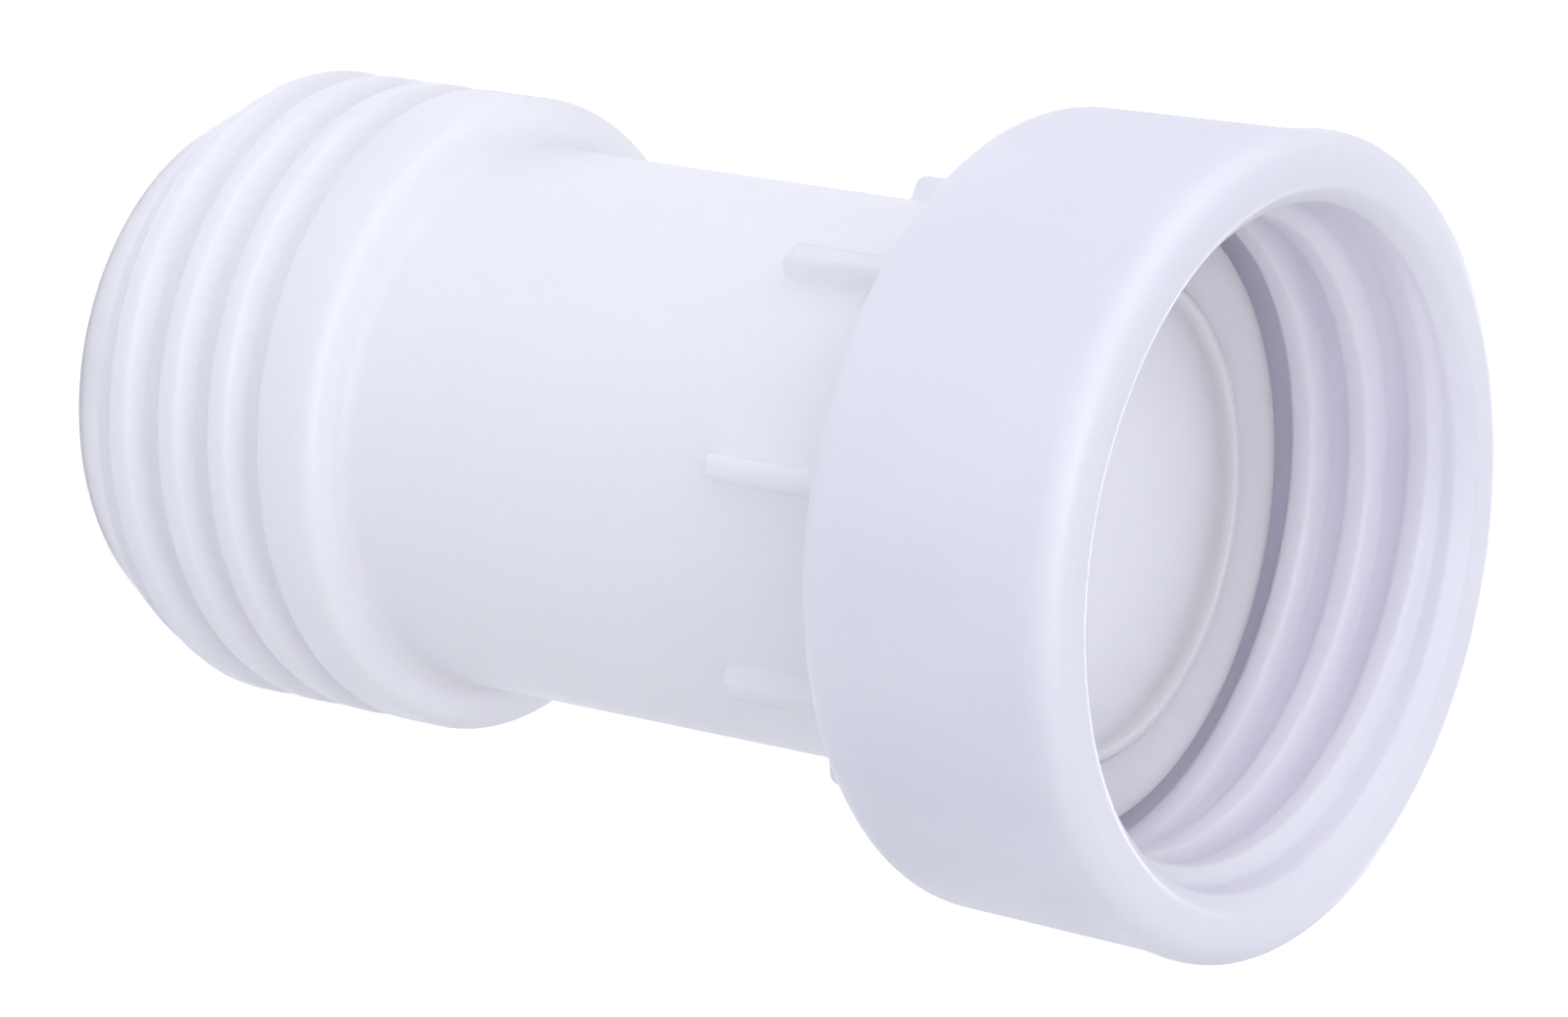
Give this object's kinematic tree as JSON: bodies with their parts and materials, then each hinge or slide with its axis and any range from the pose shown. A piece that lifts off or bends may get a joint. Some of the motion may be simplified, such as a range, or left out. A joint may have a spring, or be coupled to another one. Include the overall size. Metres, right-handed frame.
{
  "type": "threaded union coupling",
  "caption": "Plastic threaded union coupling: coarse male thread, ribbed barrel and a captive swivel nut with a matching female thread over a flat seal.",
  "frame": {"origin": "centre of the flat male end face, on the surface that the coupling stands on", "axes": "+Z along the bore from the male end to the open mouth of the swivel nut; +X and +Y across the bore"},
  "size_m": [0.0732, 0.0732, 0.1178],
  "materials": {
    "body_plastic": "natural translucent white, moulded satin",
    "nut_plastic": "natural translucent white, moulded satin",
    "washer_rubber": "soft white silicone, matt"
  },
  "bodies": {
    "body": {"coupling_body": "body_plastic", "sealing_washer": "washer_rubber"},
    "nut": {"swivel_nut": "nut_plastic"}
  },
  "joints": [
    {"name": "nut_swivel", "type": "hinge", "parent": "body", "child": "nut", "pos_m": [0, 0, 0.104], "axis": [0, 0, 1], "continuous": true}
  ]
}
